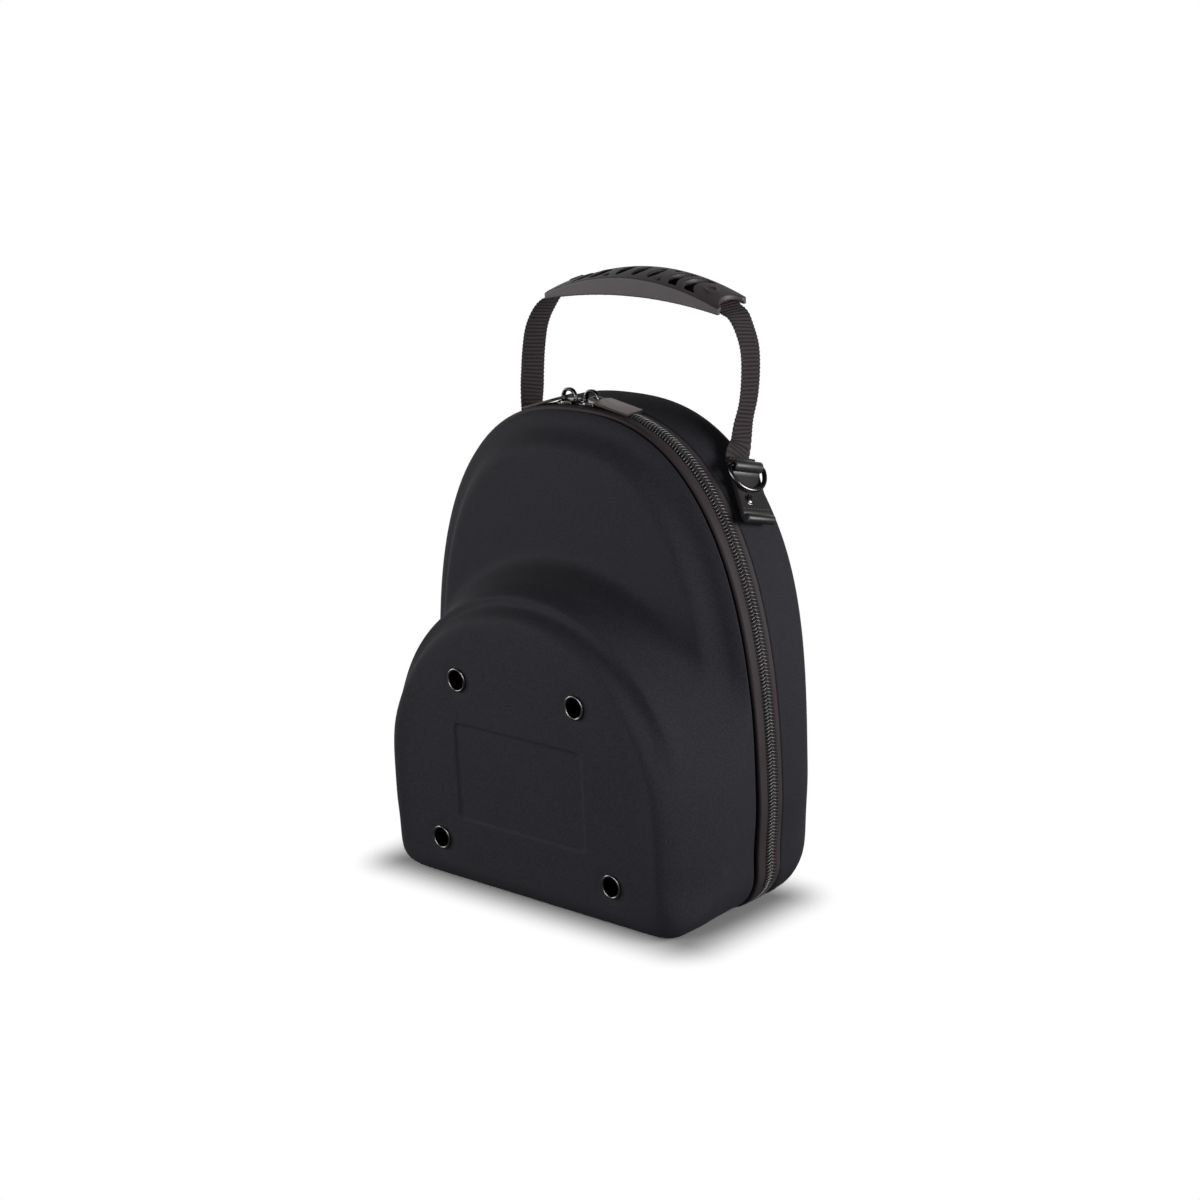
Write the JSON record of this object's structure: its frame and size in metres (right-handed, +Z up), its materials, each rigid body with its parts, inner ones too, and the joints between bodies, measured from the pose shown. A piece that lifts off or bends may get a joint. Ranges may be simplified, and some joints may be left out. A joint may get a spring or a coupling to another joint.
{
  "type": "cap carrier",
  "caption": "Moulded cloth-covered case for a stack of caps: domed front shell with eyelet vents, zip round the rim, webbing handle with pierced grip and rings.",
  "frame": {"origin": "on the floor under the middle of the box round the whole object", "axes": "+Z up, the domed front faces -Y, +X is to the right when facing the front"},
  "size_m": [0.2738, 0.1506, 0.3822],
  "materials": {
    "shell_cloth": "matte fine knit bonded to moulded foam",
    "binding": "smooth satin tape folded over the edge",
    "zip_tape": "woven tape",
    "zip_coil": "satin moulded coil",
    "webbing": "ribbed woven webbing",
    "grip_rubber": "moulded, satin",
    "tab_leather": "semi-gloss coated",
    "dark_metal": "dark plated"
  },
  "bodies": {
    "case": {"front_shell": "shell_cloth", "back_shell": "shell_cloth", "edge_binding": "binding", "zip_tape_front": "zip_tape", "zip_tape_back": "zip_tape", "zip_chain": "zip_coil", "hinge_strip": "zip_tape", "eyelet_upper_left": "dark_metal", "eyelet_upper_right": "dark_metal", "eyelet_lower_left": "dark_metal", "eyelet_lower_right": "dark_metal", "zip_slider_left": "dark_metal", "zip_slider_right": "dark_metal", "handle_webbing": "webbing", "handle_grip": "grip_rubber", "tab_right": "tab_leather", "tab_left": "tab_leather"},
    "ring_right": {"d_ring_right": "dark_metal"},
    "ring_left": {"d_ring_left": "dark_metal"},
    "pull_right": {"zip_pull_right": "dark_metal"},
    "pull_left": {"zip_pull_left": "dark_metal"}
  },
  "joints": [
    {"name": "ring_right_swing", "type": "hinge", "parent": "case", "child": "ring_right", "pos_m": [0.09877, 0.03635, 0.27206], "axis": [-0.1701, -0.9521, 0.254], "range_deg": [0, 160]},
    {"name": "ring_left_swing", "type": "hinge", "parent": "case", "child": "ring_left", "pos_m": [-0.09877, 0.03635, 0.27206], "axis": [-0.1701, 0.9521, -0.254], "range_deg": [0, 160]},
    {"name": "pull_right_flip", "type": "hinge", "parent": "case", "child": "pull_right", "pos_m": [0.00301, 0.0078, 0.3101], "axis": [0, -1, 0], "range_deg": [0, 110]},
    {"name": "pull_left_flip", "type": "hinge", "parent": "case", "child": "pull_left", "pos_m": [-0.01871, 0.0078, 0.30949], "axis": [0, 1, 0], "range_deg": [0, 110]}
  ]
}
